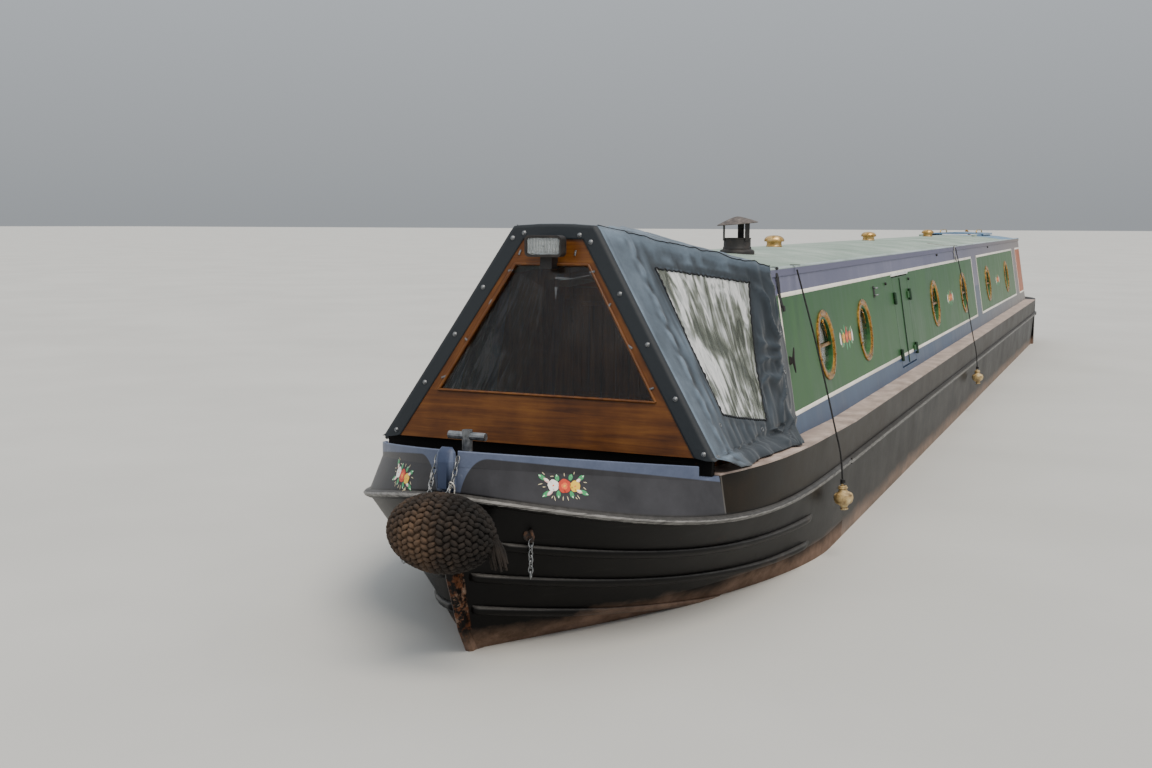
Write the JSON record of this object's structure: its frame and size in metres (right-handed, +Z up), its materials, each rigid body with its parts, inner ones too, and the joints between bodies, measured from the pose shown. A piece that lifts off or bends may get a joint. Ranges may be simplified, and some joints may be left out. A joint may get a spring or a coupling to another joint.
{
  "type": "narrowboat",
  "caption": "Long narrow steel canal boat with a full-length cabin, glazed cratch and canvas cover over the fore well, folding hatches, sliding hatch, rudder and rope fenders.",
  "frame": {"origin": "Centre of the bounding box in plan, at the underside of the base plate, which is flat and level.", "axes": "+X runs forward to the bow, +Y to port and +Z up. The waterline lies 0.600 m above the origin."},
  "size_m": [17.26, 2.31, 2.4166],
  "materials": {
    "blacking": "black bitumen hull paint with a soft sheen",
    "taupe": "matt taupe deck paint",
    "steel": "bare galvanised steel",
    "varnish": "varnished brown wood",
    "glass": "clear window glass",
    "black_iron": "matt black with brown heat marks",
    "canvas": "slate blue coated canvas",
    "cabin_green": "satin green coach paint, a little faded",
    "roof_grey": "matt sage grey roof paint",
    "slate": "satin slate blue paint",
    "boards": "sealed plywood",
    "engine_green": "gloss green enamel",
    "brass": "polished brass, a little dull",
    "bronze": "cast bronze",
    "rope": "woven black rope with brown worn patches",
    "fender_cream": "cream soft plastic"
  },
  "bodies": {
    "hull": {"base_plate": "blacking", "fore_hull": "blacking", "fore_topside_port": "blacking", "fore_topside_starboard": "blacking", "stem_post": "blacking", "hull_side_port": "blacking", "hull_side_starboard": "blacking", "swim_port": "blacking", "swim_starboard": "blacking", "counter_plate_port": "blacking", "counter_plate_starboard": "blacking", "counter": "blacking", "stern_post": "blacking", "fore_deck": "blacking", "fore_bulkhead": "blacking", "gunwale_port": "taupe", "gunwale_starboard": "taupe", "tee_stud": "steel", "cratch_board": "varnish", "cratch_plank": "varnish", "front_bulkhead": "varnish", "cratch_glass": "glass", "headlamp": "black_iron", "chimney": "black_iron", "cratch_cover": "canvas", "cabin_side_port_fore": "cabin_green", "cabin_side_port_middle": "cabin_green", "cabin_side_port_aft": "cabin_green", "cabin_side_starboard_fore": "cabin_green", "cabin_side_starboard_middle": "cabin_green", "cabin_side_starboard_aft": "cabin_green", "cabin_roof": "roof_grey", "rear_bulkhead": "slate", "cabin_floor": "boards", "engine": "engine_green", "mushroom_vent_fore": "brass", "mushroom_vent_middle": "brass", "mushroom_vent_aft": "brass", "bow_fender": "rope", "stern_fender": "rope", "side_fender_port_fore": "fender_cream", "side_fender_port_aft": "fender_cream", "side_fender_starboard_fore": "fender_cream", "side_fender_starboard_aft": "fender_cream"},
    "gas_locker_lid": {"gas_locker_lid": "blacking"},
    "front_door_port": {"front_door_port": "varnish"},
    "front_door_starboard": {"front_door_starboard": "varnish"},
    "rear_door_port": {"rear_door_port": "slate"},
    "rear_door_starboard": {"rear_door_starboard": "slate"},
    "side_hatch_port_fore": {"side_hatch_port_fore": "cabin_green"},
    "side_hatch_port_aft": {"side_hatch_port_aft": "cabin_green"},
    "side_hatch_starboard_fore": {"side_hatch_starboard_fore": "cabin_green"},
    "side_hatch_starboard_aft": {"side_hatch_starboard_aft": "cabin_green"},
    "sliding_hatch": {"sliding_hatch": "slate"},
    "propeller": {"propeller": "bronze"},
    "steering": {"rudder": "blacking", "tiller": "brass"}
  },
  "joints": [
    {"name": "gas_locker_lid_hinge", "type": "hinge", "parent": "hull", "child": "gas_locker_lid", "pos_m": [7.57, 0, 1.2928], "axis": [0, -1, 0], "range_deg": [0, 80]},
    {"name": "front_door_port_hinge", "type": "hinge", "parent": "hull", "child": "front_door_port", "pos_m": [6.362, 0.338, 0.865], "axis": [0, 0, 1], "range_deg": [0, 100]},
    {"name": "front_door_starboard_hinge", "type": "hinge", "parent": "hull", "child": "front_door_starboard", "pos_m": [6.362, -0.338, 0.865], "axis": [0, 0, -1], "range_deg": [0, 100]},
    {"name": "rear_door_port_hinge", "type": "hinge", "parent": "hull", "child": "rear_door_port", "pos_m": [-7.312, 0.308, 1.295], "axis": [0, 0, -1], "range_deg": [0, 170]},
    {"name": "rear_door_starboard_hinge", "type": "hinge", "parent": "hull", "child": "rear_door_starboard", "pos_m": [-7.312, -0.308, 1.295], "axis": [0, 0, 1], "range_deg": [0, 170]},
    {"name": "side_hatch_port_fore_hinge", "type": "hinge", "parent": "hull", "child": "side_hatch_port_fore", "pos_m": [3.008, 0.89679, 1.31392], "axis": [0, 0.1596, -0.9872], "range_deg": [0, 170]},
    {"name": "side_hatch_port_aft_hinge", "type": "hinge", "parent": "hull", "child": "side_hatch_port_aft", "pos_m": [2.362, 0.89679, 1.31392], "axis": [0, -0.1596, 0.9872], "range_deg": [0, 170]},
    {"name": "side_hatch_starboard_fore_hinge", "type": "hinge", "parent": "hull", "child": "side_hatch_starboard_fore", "pos_m": [3.008, -0.89679, 1.31392], "axis": [0, 0.1596, 0.9872], "range_deg": [0, 170]},
    {"name": "side_hatch_starboard_aft_hinge", "type": "hinge", "parent": "hull", "child": "side_hatch_starboard_aft", "pos_m": [2.362, -0.89679, 1.31392], "axis": [0, -0.1596, -0.9872], "range_deg": [0, 170]},
    {"name": "sliding_hatch_run", "type": "slide", "parent": "hull", "child": "sliding_hatch", "axis": [1, 0, 0], "range_m": [0, 0.85]},
    {"name": "propeller_shaft", "type": "hinge", "parent": "hull", "child": "propeller", "pos_m": [-7.86, 0, 0.3], "axis": [1, 0, 0], "continuous": true},
    {"name": "rudder_stock", "type": "hinge", "parent": "hull", "child": "steering", "pos_m": [-8.18, 0, 0.6], "axis": [0, 0, 1], "range_deg": [-60, 60]}
  ]
}
